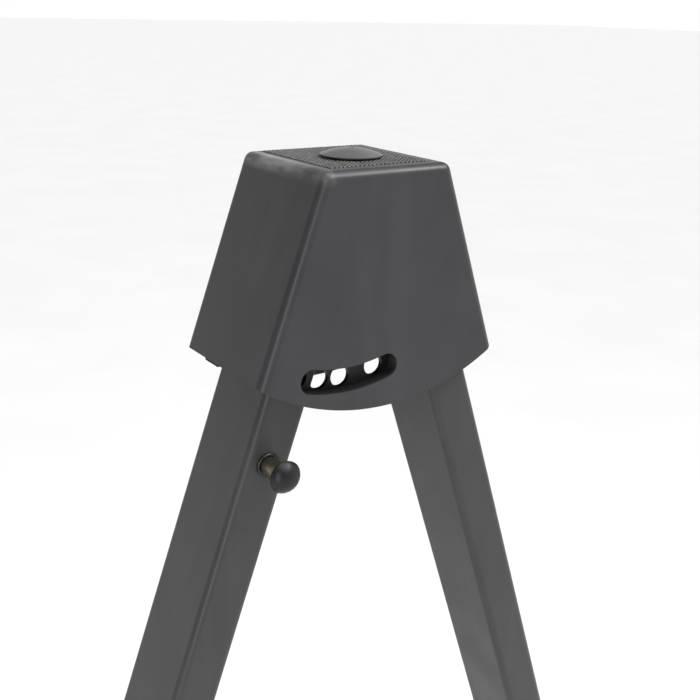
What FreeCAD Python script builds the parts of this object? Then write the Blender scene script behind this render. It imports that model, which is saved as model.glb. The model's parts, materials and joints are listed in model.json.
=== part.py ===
"""Folding tripod hunting stand: a moulded hub with three telescoping steel legs.

Units are millimetres.  The model is laid out in the hub frame: X to the right,
Y from the front of the hub to its back, Z up, with z = 0 at the lower edge of
the cover's side walls and y = 0 at the cover's front face.  Each leg is built
in its own frame, with the pivot at the origin and the leg hanging down -Z.
At the end everything moves so that the origin lies on the floor, under the
middle of the stand's outline.
"""
import FreeCAD, Part
import math
import os

V = FreeCAD.Vector
AXIS_X = V(1, 0, 0)
AXIS_Y = V(0, 1, 0)
AXIS_Z = V(0, 0, 1)

# ---------------------------------------------------------------- driving sizes
stand_height = 755.0          # floor to the cover's top face, legs closed up

# cover
cover_height = 110.0
cover_depth = 88.0
cover_top_half = 40.5
cover_low_half = 79.0
cover_wall = 3.0
cover_top_wall = 5.0
cover_edge_r = 5.5
skirt_sag = 23.3
back_panel_low = 71.0         # the back wall stops here, to let the rear leg out
side_wall_step = 1.9          # the side walls end this far short of the back wall

# slot in the cover's front wall, over the index holes
slot_centre_x = -25.0
slot_centre_z = 94.0
slot_radius = 97.2
slot_width = 14.0
slot_from_deg = -13.4
slot_to_deg = 15.6
slot_rim = 2.0
slot_rim_gap = 0.6            # the rim's end to the bracket's front plate

# pad and centre fastening
pad_half = 32.5
pad_from_y = 9.2
pad_to_y = 81.4
pad_corner_r = 2.0
pad_gap = 0.4
pad_recess = 2.0
pad_hole_r = 11.0
cap_r = 17.2
cap_lift = 1.3                # underside above the cover's top face
cap_rim = 0.8
cap_rise = 3.7
cap_socket_r = 9.0
cap_centre_y = 38.5
cap_dimple_r = 3.0
cap_dimple_deep = 0.5

# bracket
plate = 3.0
front_plate_back = 11.8
plate_cover_gap = 1.5
plate_lower_half = 60.0
top_plate_half = 35.0
front_plate_lift = 3.5        # its lower edge above the skirt's
rear_plate_drop = 3.2         # its lower edge below the skirt's
index_hole_r = 6.0
index_radius = 98.0           # about the slot's centre
index_hole_degs = (-15.8, -7.5, 0.5, 13.6)

# leg tubes
tube_w = 28.0
tube_d = 55.0
tube_wall = 1.5
tube_corner_r = 4.5
glide_gap = 1.5               # outer tube's inside to core tube's outside
core_corner_r = 3.0
core_length = 510.0
outer_top = 26.0              # pivot to the outer tube's top rim
index_pitch = 50.0
index_count = 7

# pivots and stops
front_splay_deg = 19.0
rear_splay_deg = 24.0
front_pivot_x = 19.6
front_pivot_z = 88.0
rear_pivot_z = 31.0
leg_front_gap = 1.5           # cheek plate to outer tube
rear_leg_gap = 0.6            # rear cheek plate and ears to the rear leg
pivot_r = 4.0
sleeve_r = 6.0
washer_r = 9.5
turning_gap = 0.05            # bolt in sleeve, all round
end_gap = 0.3                 # between pieces that move on each other, end to end
stop_gap = 0.2
stop_at = 14.0                # stop's place along the leg, from the pivot
spacer_r = 4.0
spacer_bore_r = 2.6
spacer_bolt_r = 2.5
rear_stop_r = 3.0
ear = 3.0
ear_low = 1.0
ear_high = 52.0
ear_end_r = 7.0
bumper_low = -3.2
bumper_high = 20.0
bumper_length = 16.0          # ends level with the legs' rear faces

# sliding parts
bush_length = 40.0
bush_lip = 3.0
bush_gap = 0.25               # bush on core, glide in outer tube
collar_length = 3.7
collar_proud = 1.8
glide_length = 40.0
glide_floor = 4.0

# feet
boot_wall = 3.0
boot_grip = 34.0
boot_corner_r = 7.0
sole_thickness = 16.0

# pull pin
pin_at = 145.0                # pivot to pin, along the leg, closed up
pin_r = 3.0
pin_hole_gap = 0.3
pin_gap = 0.05
pin_reach = 3.1               # past the core's outside face
pin_chamfer = 0.8
seat_r = 7.0
seat_thick = 1.5
barrel_r = 5.5
barrel_proud = 15.6           # from the tube's face to the barrel's end
barrel_cap = 1.5
barrel_floor = 1.0
barrel_bore_r = 4.5
spigot_r = 4.2
flange_r = 4.3
flange_thick = 1.5
stem_r = 2.0
stem_grip = 5.0
knob_r = 9.25
knob_length = 8.5
knob_neck_r = 6.2
knob_edge_at = 2.6
knob_flare_in = 0.75          # a point on the flare: in from the edge
knob_flare_share = 0.36       # and its share of the way to the edge
spring_wire = 0.8
spring_mean_r = 3.2
spring_turns = 4

# hardware
m8_flats = 13.0
m8_head = 5.3
m8_nut = 6.5
m5_flats = 8.0
m5_head = 3.5
m5_nut = 4.7
thread_gap = 0.05
bolt_hole_gap = 0.2
bolt_tail = 1.5

# ------------------------------------------------------------ worked-out places
corner_height = stand_height - cover_height
side_slope = (cover_low_half - cover_top_half) / cover_height
wall_in_x = cover_wall * math.hypot(1.0, side_slope)
skirt_r = (cover_low_half ** 2 + skirt_sag ** 2) / (2.0 * skirt_sag)
skirt_centre_z = skirt_r - skirt_sag
cover_inside_top = cover_height - cover_top_wall
cover_deep = -skirt_sag - cover_wall
pad_floor = cover_height - pad_recess

core_w = tube_w - 2.0 * (tube_wall + glide_gap)
core_d = tube_d - 2.0 * (tube_wall + glide_gap)
leg_front_y = front_plate_back + leg_front_gap
leg_mid_y = leg_front_y + tube_d / 2.0
rear_plate_front = leg_front_y + tube_d + leg_front_gap
rear_plate_back = rear_plate_front + plate
front_plate_front = front_plate_back - plate
slot_rim_end = front_plate_front - slot_rim_gap
rear_pivot_y = rear_plate_back + rear_leg_gap + tube_d / 2.0
ear_inside = tube_w / 2.0 + rear_leg_gap
cheek_top = cover_inside_top - plate

LEGS = {
    "left": {"pivot": V(-front_pivot_x, leg_mid_y, front_pivot_z), "turn": 0.0,
             "axis": AXIS_Y, "splay": front_splay_deg, "sleeve": AXIS_Y},
    "right": {"pivot": V(front_pivot_x, leg_mid_y, front_pivot_z), "turn": 180.0,
              "axis": AXIS_Y, "splay": -front_splay_deg, "sleeve": AXIS_Y},
    "rear": {"pivot": V(0, rear_pivot_y, rear_pivot_z), "turn": 0.0,
             "axis": AXIS_X, "splay": rear_splay_deg, "sleeve": AXIS_X},
}


# ---------------------------------------------------------------------- helpers
def rounded_bar(width, depth, corner_r, low, high):
    """A bar along Z, centred on it, with rounded upright edges."""
    bar = Part.makeBox(width, depth, high - low, V(-width / 2.0, -depth / 2.0, low))
    upright = [e for e in bar.Edges if abs(e.Vertexes[0].Z - e.Vertexes[-1].Z) > 1e-6]
    return bar.makeFillet(corner_r, upright)


def rod(radius, start, end):
    """A cylinder from one point to another."""
    along = end - start
    return Part.makeCylinder(radius, along.Length, start, along)


def pipe(outer_r, inner_r, start, end):
    return rod(outer_r, start, end).cut(rod(inner_r, start, end))


def hexagon(across_flats, start, end):
    """A hexagonal prism from one point to another."""
    along = end - start
    corner_r = across_flats / math.sqrt(3.0)
    points = [V(corner_r * math.cos(math.radians(60 * k)),
                corner_r * math.sin(math.radians(60 * k)), 0) for k in range(7)]
    prism = Part.Face(Part.makePolygon(points)).extrude(V(0, 0, along.Length))
    prism.Placement = FreeCAD.Placement(start, FreeCAD.Rotation(AXIS_Z, along))
    return prism


def plate_from(points, thickness_vector):
    """A flat plate: a closed outline of points, pushed along a vector."""
    outline = Part.makePolygon(list(points) + [points[0]])
    return Part.Face(outline).extrude(thickness_vector)


def moved(shape, by):
    copy = shape.copy()
    copy.translate(by)
    return copy


def mirrored(shape):
    """The same piece on the other side of the hub's middle plane."""
    return shape.mirror(V(0, 0, 0), AXIS_X)


def group(shapes):
    return Part.makeCompound(shapes)


def placed(shape, leg):
    """A piece of a leg, from the leg's own frame to the hub frame."""
    copy = shape.copy()
    copy.rotate(V(0, 0, 0), AXIS_Z, leg["turn"])
    copy.rotate(V(0, 0, 0), leg["axis"], leg["splay"])
    copy.translate(leg["pivot"])
    return copy


def side_x(z, inset):
    """Half the cover's width at a height, less an inset measured across."""
    return cover_low_half - side_slope * z - inset


# ------------------------------------------------------------------------ cover
def trapezoid(inset_x, front, back, low, high):
    """The cover's tapered block, its slanted walls moved in by inset_x."""
    points = [V(-side_x(low, inset_x), front, low), V(side_x(low, inset_x), front, low),
              V(side_x(high, inset_x), front, high), V(-side_x(high, inset_x), front, high)]
    return plate_from(points, V(0, back - front, 0))


def round_block(block, radius, top):
    """Rounds the block's four slanted edges and any edges at the top height."""
    edges = []
    for edge in block.Edges:
        heights = [v.Z for v in edge.Vertexes]
        slanted = abs(heights[0] - heights[-1]) > 1.0
        if slanted or min(heights) > top - 0.01:
            edges.append(edge)
    return block.makeFillet(radius, edges)


def below_skirt(radius, front, back):
    """All that lies below z = 0, but for a disc that ends in the skirt's arc."""
    disc = Part.makeCylinder(radius, back - front, V(0, front, skirt_centre_z), AXIS_Y)
    below = Part.makeBox(2 * radius, 2 * cover_depth, radius, V(-radius, -cover_depth / 2.0, -radius))
    return below.cut(disc)


def slot_bar(width, front, back):
    """The curved slot as a solid: an arc-shaped bar with round ends."""
    centre = V(slot_centre_x, front, slot_centre_z)
    depth = V(0, back - front, 0)

    def at(radius, degrees):
        turn = math.radians(degrees)
        return centre + V(radius * math.sin(turn), 0, -radius * math.cos(turn))

    middle = (slot_from_deg + slot_to_deg) / 2.0
    inner = slot_radius - width / 2.0
    outer = slot_radius + width / 2.0
    step = math.degrees(width / 2.0 / slot_radius)
    edges = [
        Part.Arc(at(outer, slot_from_deg), at(outer, middle), at(outer, slot_to_deg)),
        Part.Arc(at(outer, slot_to_deg), at(slot_radius, slot_to_deg + step), at(inner, slot_to_deg)),
        Part.Arc(at(inner, slot_to_deg), at(inner, middle), at(inner, slot_from_deg)),
        Part.Arc(at(inner, slot_from_deg), at(slot_radius, slot_from_deg - step),
                 at(outer, slot_from_deg)),
    ]
    wire = Part.Wire([arc.toShape() for arc in edges])
    return Part.Face(wire).extrude(depth)


def pad_block(gap, low, high):
    """The pad's rectangle, smaller all round by a gap."""
    width = 2 * (pad_half - gap)
    depth = pad_to_y - pad_from_y - 2 * gap
    block = rounded_bar(width, depth, pad_corner_r, low, high)
    return moved(block, V(0, (pad_from_y + pad_to_y) / 2.0, 0))


def make_cover():
    outside = trapezoid(0.0, 0.0, cover_depth, cover_deep, cover_height)
    outside = round_block(outside, cover_edge_r, cover_height)
    outside = outside.cut(below_skirt(skirt_r, 0.0, cover_wall))
    inside = trapezoid(wall_in_x, cover_wall, cover_depth - cover_wall, cover_deep, cover_inside_top)
    inside = round_block(inside, cover_edge_r - cover_wall, cover_height)
    cover = outside.cut(inside)
    rear_gap = Part.makeBox(4 * cover_low_half, cover_depth, back_panel_low + cover_height,
                            V(-2 * cover_low_half, cover_depth - side_wall_step, -cover_height))
    doorway = trapezoid(wall_in_x, cover_depth - 2 * cover_wall, 2 * cover_depth, cover_deep, back_panel_low)
    cover = cover.cut(rear_gap).cut(doorway)
    cover = cover.fuse(slot_bar(slot_width + 2 * slot_rim, cover_wall / 2.0, slot_rim_end))
    cover = cover.cut(slot_bar(slot_width, -cover_wall, 2 * slot_rim_end))
    cover = cover.cut(pad_block(0.0, pad_floor, cover_height + cover_wall))
    bolt_at = V(0, cap_centre_y, 0)
    hole = rod(pivot_r + bolt_hole_gap, bolt_at, bolt_at + V(0, 0, 2 * cover_height))
    return cover.cut(hole).removeSplitter()


def cover_pieces():
    """The one-piece cover as front, top, back and two sides, which meet face to face."""
    wide = 2 * cover_low_half
    tall = 2 * (cover_height - cover_deep)
    front_zone = Part.makeBox(2 * wide, 2 * cover_wall, tall, V(-wide, -cover_wall, -tall / 2.0))
    front_zone = front_zone.fuse(slot_bar(slot_width + 2 * slot_rim, 0.0, slot_rim_end))
    top_zone = Part.makeBox(2 * wide, 2 * cover_depth, tall, V(-wide, -cover_depth / 2.0, cover_inside_top))
    back_zone = trapezoid(wall_in_x, cover_depth - cover_wall, 2 * cover_depth, back_panel_low,
                          cover_inside_top)
    rest = make_cover()
    pieces = {}
    for name, zone in (("front", front_zone), ("top", top_zone), ("back", back_zone)):
        pieces["cover_" + name] = rest.common(zone).removeSplitter()
        rest = rest.cut(zone)
    pieces["cover_sides"] = rest.removeSplitter()
    return pieces


def make_pad():
    pad = pad_block(pad_gap, pad_floor, cover_height)
    centre = V(0, cap_centre_y, 0)
    return pad.cut(rod(pad_hole_r, centre, centre + V(0, 0, 2 * cover_height)))


def make_cap():
    """A low dome with a straight rim on a narrower neck, hollow over the bolt's head."""
    dome_r = (cap_r ** 2 + cap_rise ** 2) / (2.0 * cap_rise)
    base = V(0, cap_centre_y, cover_height + cap_lift)
    rim_top = base + V(0, 0, cap_rim)
    sphere = Part.makeSphere(dome_r, rim_top + V(0, 0, cap_rise - dome_r))
    dome = sphere.common(rod(cap_r, rim_top, rim_top + V(0, 0, 2 * cap_rise)))
    cap = rod(cap_r, base, rim_top).fuse(dome).removeSplitter()
    dimple_at = rim_top + V(0, 0, cap_rise + cap_dimple_r - cap_dimple_deep)
    cap = cap.cut(Part.makeSphere(cap_dimple_r, dimple_at))
    neck = pipe(pad_hole_r - pad_gap, cap_socket_r, V(0, cap_centre_y, pad_floor), base)
    socket = rod(cap_socket_r, base - V(0, 0, 1), V(0, cap_centre_y, pad_floor + m8_head))
    return cap.fuse(neck).cut(socket).removeSplitter()


def make_centre_bolt():
    head_low = V(0, cap_centre_y, pad_floor)
    head = hexagon(m8_flats, head_low, head_low + V(0, 0, m8_head - end_gap))
    tail = V(0, cap_centre_y, cheek_top - m8_nut - bolt_tail)
    return head.fuse(rod(pivot_r, tail, head_low)).removeSplitter()


def make_centre_nut():
    top = V(0, cap_centre_y, cheek_top)
    low = top - V(0, 0, m8_nut)
    return hexagon(m8_flats, low, top).cut(rod(pivot_r + thread_gap, low, top))


# ---------------------------------------------------------------------- bracket
def cheek_outline(front, arc_r):
    """A cheek plate: the cover's taper, straight lower sides and an arc below."""
    inset = wall_in_x + plate_cover_gap
    knee_z = (cover_low_half - inset - plate_lower_half) / side_slope
    low = -skirt_sag - 2 * rear_plate_drop
    points = [V(-plate_lower_half, front, low), V(plate_lower_half, front, low),
              V(plate_lower_half, front, knee_z), V(side_x(cheek_top, inset), front, cheek_top),
              V(-side_x(cheek_top, inset), front, cheek_top), V(-plate_lower_half, front, knee_z)]
    sheet = plate_from(points, V(0, plate, 0))
    disc = Part.makeCylinder(arc_r, plate, V(0, front, skirt_centre_z), AXIS_Y)
    return sheet.common(disc)


def stop_offset(stop_r, half_thickness):
    """From the pivot to a stop that the core's face rests on, in the leg's frame."""
    return V(-(half_thickness + stop_r + stop_gap), 0, -stop_at)


def spacer_place():
    """The left spacer's x and z; the right one mirrors it."""
    offset = stop_offset(spacer_r, core_w / 2.0)
    turned = FreeCAD.Rotation(AXIS_Y, front_splay_deg).multVec(offset)
    return V(-front_pivot_x, 0, front_pivot_z) + turned


def rear_stop_place():
    """The rear stop pin's y and z."""
    offset = V(0, core_d / 2.0 + rear_stop_r + stop_gap, -stop_at)
    turned = FreeCAD.Rotation(AXIS_X, rear_splay_deg).multVec(offset)
    return V(0, rear_pivot_y, rear_pivot_z) + turned


def plate_holes(front):
    """The bolt holes that both cheek plates share."""
    spacer = spacer_place()
    holes = []
    for side in (-1, 1):
        for x, z, radius in ((front_pivot_x, front_pivot_z, pivot_r), (spacer.x, spacer.z, spacer_bolt_r)):
            at = V(side * x, front - plate, z)
            holes.append(rod(radius + bolt_hole_gap, at, at + V(0, 3 * plate, 0)))
    return group(holes)


def index_hole_place(degrees):
    turn = math.radians(degrees)
    return V(slot_centre_x + index_radius * math.sin(turn), front_plate_front,
             slot_centre_z - index_radius * math.cos(turn))


def make_front_cheek():
    cheek = cheek_outline(front_plate_front, skirt_r - front_plate_lift)
    for degrees in index_hole_degs:
        at = index_hole_place(degrees)
        cheek = cheek.cut(rod(index_hole_r, at - V(0, plate, 0), at + V(0, 2 * plate, 0)))
    return cheek.cut(plate_holes(front_plate_front))


def make_rear_cheek():
    cheek = cheek_outline(rear_plate_front, skirt_r + rear_plate_drop)
    return cheek.cut(plate_holes(rear_plate_front))


def make_top_plate():
    top = Part.makeBox(2 * top_plate_half, rear_plate_back - front_plate_front, plate,
                       V(-top_plate_half, front_plate_front, cheek_top))
    low = V(0, cap_centre_y, cheek_top - plate)
    return top.cut(rod(pivot_r + bolt_hole_gap, low, low + V(0, 0, 3 * plate)))


def make_ear_pair():
    """Two upright ears welded on the rear cheek, for the rear leg's pivot."""
    pin = rear_stop_place()
    sheet = plate_from([V(ear_inside, rear_plate_back, ear_low), V(ear_inside, rear_plate_back, ear_high),
                        V(ear_inside, pin.y, pin.z + ear_end_r), V(ear_inside, pin.y, pin.z - ear_end_r)],
                       V(ear, 0, 0))
    end = Part.makeCylinder(ear_end_r, ear, V(ear_inside, pin.y, pin.z), AXIS_X)
    wide = V(2 * ear, 0, 0)
    pivot_hole = rod(pivot_r + bolt_hole_gap, V(ear_inside, rear_pivot_y, rear_pivot_z) - wide,
                     V(ear_inside, rear_pivot_y, rear_pivot_z) + wide)
    pin_hole = rod(rear_stop_r, V(ear_inside, pin.y, pin.z) - wide, V(ear_inside, pin.y, pin.z) + wide)
    right = sheet.fuse(end).removeSplitter().cut(pivot_hole).cut(pin_hole)
    return group([mirrored(right), right])


def make_rear_stop_pin():
    pin = rear_stop_place()
    reach = ear_inside + ear + bolt_tail
    return rod(rear_stop_r, V(-reach, pin.y, pin.z), V(reach, pin.y, pin.z))


def cross_bolts(x, z, radius, flats, head, nut):
    """A pair of bolts through both cheek plates, and their nuts."""
    bolts = []
    nuts = []
    for side in (-1, 1):
        front = V(side * x, front_plate_front, z)
        back = V(side * x, rear_plate_back, z)
        tail = back + V(0, nut + bolt_tail, 0)
        cap = hexagon(flats, front - V(0, head, 0), front)
        bolts.append(cap.fuse(rod(radius, front, tail)).removeSplitter())
        ring = hexagon(flats, back, back + V(0, nut, 0))
        nuts.append(ring.cut(rod(radius + thread_gap, back, tail)))
    return group(bolts), group(nuts)


def make_spacers():
    place = spacer_place()
    spacers = []
    for side in (-1, 1):
        front = V(side * place.x, front_plate_back, place.z)
        back = V(side * place.x, rear_plate_front, place.z)
        spacers.append(pipe(spacer_r, spacer_bore_r, front, back))
    return group(spacers)


def make_rear_pivot():
    """The rear leg's pivot bolt, across the ears, and its nut."""
    outside = ear_inside + ear
    left = V(-outside, rear_pivot_y, rear_pivot_z)
    right = V(outside, rear_pivot_y, rear_pivot_z)
    tail = right + V(m8_nut + bolt_tail, 0, 0)
    head = hexagon(m8_flats, left - V(m8_head, 0, 0), left)
    bolt = head.fuse(rod(pivot_r, left, tail)).removeSplitter()
    nut = hexagon(m8_flats, right, right + V(m8_nut, 0, 0)).cut(rod(pivot_r + thread_gap, right, tail))
    return bolt, nut


def make_bumpers():
    """Rubber blocks between the cover's side walls and the open legs."""
    lean = math.tan(math.radians(front_splay_deg))
    half = tube_w / 2.0 / math.cos(math.radians(front_splay_deg)) + end_gap

    front = leg_front_y + tube_d - bumper_length

    def leg_face(z):
        return front_pivot_x + lean * (front_pivot_z - z) + half

    right = plate_from([V(leg_face(bumper_low), front, bumper_low),
                        V(side_x(bumper_low, wall_in_x), front, bumper_low),
                        V(side_x(bumper_high, wall_in_x), front, bumper_high),
                        V(leg_face(bumper_high), front, bumper_high)],
                       V(0, bumper_length, 0))
    return group([mirrored(right), right])


# ------------------------------------------------------------------------- legs
def leg_reach(leg):
    """From the pivot to the floor along the leg's middle line, closed up."""
    return (leg["pivot"].z + corner_height) / math.cos(math.radians(leg["splay"]))


def sleeve_span(leg):
    """Half the gap that the pivot sleeve fills."""
    if leg["sleeve"] == AXIS_Y:
        return tube_d / 2.0 + leg_front_gap
    return ear_inside


def core_half(leg):
    """The core's half size along the pivot, and across it."""
    if leg["sleeve"] == AXIS_Y:
        return core_d / 2.0, core_w / 2.0
    return core_w / 2.0, core_d / 2.0


def across(leg, reach):
    """A rod's two ends on the pivot's axis."""
    return leg["sleeve"] * -reach, leg["sleeve"] * reach


def make_core(leg):
    along, round_r = core_half(leg)
    core = rounded_bar(core_w, core_d, core_corner_r, -core_length, round_r)
    hollow = rounded_bar(core_w - 2 * tube_wall, core_d - 2 * tube_wall, core_corner_r - tube_wall,
                         -core_length - 1, round_r + 1)
    core = core.cut(hollow)
    start, end = across(leg, 2 * along)
    low = rounded_bar(2 * core_w, 2 * core_d, core_corner_r, -core_length - 1, 0)
    core = core.common(low.fuse(rod(round_r, start, end)))
    core = core.cut(rod(sleeve_r, start, end))
    for k in range(index_count):
        at = V(0, -core_d, -(pin_at + k * index_pitch))
        core = core.cut(rod(pin_r + pin_hole_gap, at, at + V(0, core_d, 0)))
    return core


def make_sleeve(leg):
    start, end = across(leg, sleeve_span(leg) - end_gap)
    return pipe(sleeve_r, pivot_r + turning_gap, start, end)


def make_washers(leg):
    """Two plain washers between the core and what holds the pivot."""
    along = core_half(leg)[0]
    far = sleeve_span(leg) - end_gap
    axis = leg["sleeve"]
    return group([pipe(washer_r, sleeve_r, axis * (side * along), axis * (side * far))
                  for side in (-1, 1)])


def make_travel_collar():
    """A ring on the core that the closed-up outer tube stops under."""
    high = -(outer_top - end_gap - collar_length)
    low = -(outer_top - end_gap)
    ring = rounded_bar(core_w + 2 * collar_proud, core_d + 2 * collar_proud,
                       core_corner_r + collar_proud, low, high)
    return ring.cut(rounded_bar(core_w, core_d, core_corner_r, low - 1, high + 1))


def make_lower_glide():
    """A plastic shoe on the core's end, running inside the outer tube."""
    inside_w = tube_w - 2 * (tube_wall + bush_gap)
    inside_d = tube_d - 2 * (tube_wall + bush_gap)
    low = -core_length - glide_floor
    shoe = rounded_bar(inside_w, inside_d, tube_corner_r - tube_wall, low, -core_length + glide_length)
    pocket = rounded_bar(core_w, core_d, core_corner_r, -core_length, 0)
    hole = rounded_bar(core_w - 4 * tube_wall, core_d - 4 * tube_wall, core_corner_r - tube_wall, low - 1, 0)
    return shoe.cut(pocket).cut(hole)


def make_outer(leg):
    low = -(leg_reach(leg) - sole_thickness)
    high = -(outer_top + bush_lip)
    outer = rounded_bar(tube_w, tube_d, tube_corner_r, low, high)
    hollow = rounded_bar(tube_w - 2 * tube_wall, tube_d - 2 * tube_wall, tube_corner_r - tube_wall,
                         low - 1, high + 1)
    at = V(0, -tube_d, -pin_at)
    return outer.cut(hollow).cut(rod(spigot_r, at, at + V(0, tube_d, 0)))


def make_upper_bush():
    """A lipped plastic bush in the outer tube's mouth, sliding on the core."""
    mouth = -(outer_top + bush_lip)
    low = -(outer_top + bush_length)
    lip = rounded_bar(tube_w, tube_d, tube_corner_r, mouth, -outer_top)
    body = rounded_bar(tube_w - 2 * tube_wall, tube_d - 2 * tube_wall, tube_corner_r - tube_wall, low, mouth)
    slide = rounded_bar(core_w + 2 * bush_gap, core_d + 2 * bush_gap, core_corner_r + bush_gap, low - 1, 0)
    return lip.fuse(body).cut(slide)


def make_boot(leg):
    """A rubber boot over the outer tube's end, its sole level with the floor."""
    reach = leg_reach(leg)
    tube_end = -(reach - sole_thickness)
    boot = rounded_bar(tube_w + 2 * boot_wall, tube_d + 2 * boot_wall, boot_corner_r,
                       -(reach + 2 * sole_thickness), tube_end + boot_grip)
    boot = boot.cut(rounded_bar(tube_w, tube_d, tube_corner_r, tube_end, 0))
    boot = placed(boot, leg)
    under = Part.makeBox(8 * tube_d, 8 * tube_d, reach,
                         V(-4 * tube_d, -4 * tube_d, 0) + V(boot.BoundBox.Center.x, boot.BoundBox.Center.y,
                                                            -corner_height - reach))
    return boot.cut(under)


# --------------------------------------------------------------------- pull pin
face_y = -tube_d / 2.0
seat_y = face_y - seat_thick
barrel_end = face_y - barrel_proud
chamber_end = barrel_end + barrel_cap
tube_inside = face_y + tube_wall
pin_tip = -core_d / 2.0 + pin_reach
knob_back = barrel_end - end_gap
chamber_floor = seat_y - barrel_floor
flange_out = chamber_floor - pin_gap - flange_thick


def at_pin(y):
    """A point on the pull pin's axis, in the leg's frame."""
    return V(0, y, -pin_at)


def make_seat():
    return pipe(seat_r, spigot_r, at_pin(face_y), at_pin(seat_y))


def make_barrel():
    """A capped barrel that guides the pin and holds its spring."""
    barrel = rod(barrel_r, at_pin(seat_y), at_pin(barrel_end))
    barrel = barrel.fuse(rod(spigot_r, at_pin(tube_inside), at_pin(seat_y)))
    barrel = barrel.cut(rod(barrel_bore_r, at_pin(chamber_floor), at_pin(chamber_end)))
    barrel = barrel.cut(rod(pin_r + pin_gap, at_pin(tube_inside + 1), at_pin(chamber_floor)))
    return barrel.cut(rod(stem_r + pin_gap, at_pin(seat_y), at_pin(barrel_end - 1))).removeSplitter()


def make_plunger():
    """The locking pin, its spring flange and the stem that holds the knob."""
    body = rod(pin_r, at_pin(pin_tip - pin_chamfer), at_pin(flange_out))
    tip = Part.makeCone(pin_r, pin_r - pin_chamfer, pin_chamfer, at_pin(pin_tip - pin_chamfer), AXIS_Y)
    flange = rod(flange_r, at_pin(chamber_floor - pin_gap), at_pin(flange_out))
    stem = rod(stem_r, at_pin(flange_out), at_pin(knob_back - stem_grip))
    return body.fuse([tip, flange, stem]).removeSplitter()


def make_spring():
    """A spring of square wire round the stem, between flange and barrel cap."""
    half = spring_wire / 2.0
    gap = half + pin_gap
    length = flange_out - chamber_end - 2 * gap
    helix = Part.makeLongHelix(length / spring_turns, length, spring_mean_r)
    corners = [V(spring_mean_r + half * across, 0, half * up)
               for across, up in ((-1, -1), (1, -1), (1, 1), (-1, 1), (-1, -1))]
    spring = Part.Wire(helix).makePipeShell([Part.makePolygon(corners)], True, True)
    spring.rotate(V(0, 0, 0), AXIS_X, 90)
    spring.translate(at_pin(flange_out - gap))
    return spring


def make_knob():
    """A mushroom knob: a flared back and a domed face, turned about the pin."""
    dome_rise = knob_length - knob_edge_at
    dome_r = (knob_r ** 2 + dome_rise ** 2) / (2.0 * dome_rise)
    half_turn = math.asin(knob_r / dome_r) / 2.0
    edge = V(knob_r, 0, knob_edge_at)
    dome_mid = V(dome_r * math.sin(half_turn), 0, knob_length - dome_r * (1 - math.cos(half_turn)))
    top = V(0, 0, knob_length)
    neck = V(knob_neck_r, 0, 0)
    flare_mid = V(knob_r - knob_flare_in, 0, knob_edge_at * knob_flare_share)
    edges = [Part.LineSegment(V(0, 0, 0), neck).toShape(),
             Part.Arc(neck, flare_mid, edge).toShape(),
             Part.Arc(edge, dome_mid, top).toShape(),
             Part.LineSegment(top, V(0, 0, 0)).toShape()]
    knob = Part.Face(Part.Wire(edges)).revolve(V(0, 0, 0), AXIS_Z, 360)
    knob = knob.cut(rod(stem_r, V(0, 0, -1), V(0, 0, stem_grip)))
    knob.rotate(V(0, 0, 0), AXIS_X, 90)
    knob.translate(at_pin(knob_back))
    return knob


# --------------------------------------------------------------------- assembly
def hub_nodes():
    spacer = spacer_place()
    pivot_bolts, pivot_nuts = cross_bolts(front_pivot_x, front_pivot_z, pivot_r, m8_flats, m8_head, m8_nut)
    spacer_bolts, spacer_nuts = cross_bolts(spacer.x, spacer.z, spacer_bolt_r, m5_flats, m5_head, m5_nut)
    rear_bolt, rear_nut = make_rear_pivot()
    return {
        **cover_pieces(),
        "top_pad": make_pad(),
        "centre_cap": make_cap(),
        "centre_bolt": make_centre_bolt(),
        "centre_nut": make_centre_nut(),
        "front_cheek_plate": make_front_cheek(),
        "rear_cheek_plate": make_rear_cheek(),
        "bracket_top_plate": make_top_plate(),
        "rear_ear_pair": make_ear_pair(),
        "rear_stop_pin": make_rear_stop_pin(),
        "leg_stop_spacers": make_spacers(),
        "spacer_bolts": spacer_bolts,
        "spacer_nuts": spacer_nuts,
        "front_pivot_bolts": pivot_bolts,
        "front_pivot_nuts": pivot_nuts,
        "rear_pivot_bolt": rear_bolt,
        "rear_pivot_nut": rear_nut,
        "leg_bumpers": make_bumpers(),
    }


def leg_nodes(name, leg):
    """All the pieces of one leg, in the hub frame."""
    pieces = {
        "core_tube": make_core(leg),
        "pivot_sleeve": make_sleeve(leg),
        "pivot_washers": make_washers(leg),
        "travel_collar": make_travel_collar(),
        "lower_glide": make_lower_glide(),
        "outer_tube": make_outer(leg),
        "upper_bush": make_upper_bush(),
        "pin_seat": make_seat(),
        "pin_barrel": make_barrel(),
        "pin_spring": make_spring(),
        "pull_pin": make_plunger(),
        "pull_knob": make_knob(),
    }
    nodes = {name + "_" + piece: placed(shape, leg) for piece, shape in pieces.items()}
    nodes[name + "_foot"] = make_boot(leg)
    return nodes


def build():
    """Every node in the stand's own frame, and the shift from the hub frame."""
    nodes = hub_nodes()
    for name, leg in LEGS.items():
        nodes.update(leg_nodes(name, leg))
    box = group(list(nodes.values())).optimalBoundingBox(False)
    shift = V(0, -(box.YMin + box.YMax) / 2.0, corner_height)
    return {node: moved(shape, shift) for node, shape in nodes.items()}, shift


def main():
    os.makedirs("parts", exist_ok=True)
    nodes, shift = build()
    for node, shape in nodes.items():
        shape.exportStep("parts/" + node + ".step")
        print(node, len(shape.Solids), "solids", round(shape.Volume, 1), "mm3", shape.isValid())
    print(len(nodes), "nodes; shift from the hub frame", shift)


main()
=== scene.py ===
"""Looks of the folding tripod stand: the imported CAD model, dressed for a studio picture."""

import json
import math

import bmesh
import bpy
from mathutils import Matrix, Vector


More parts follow.
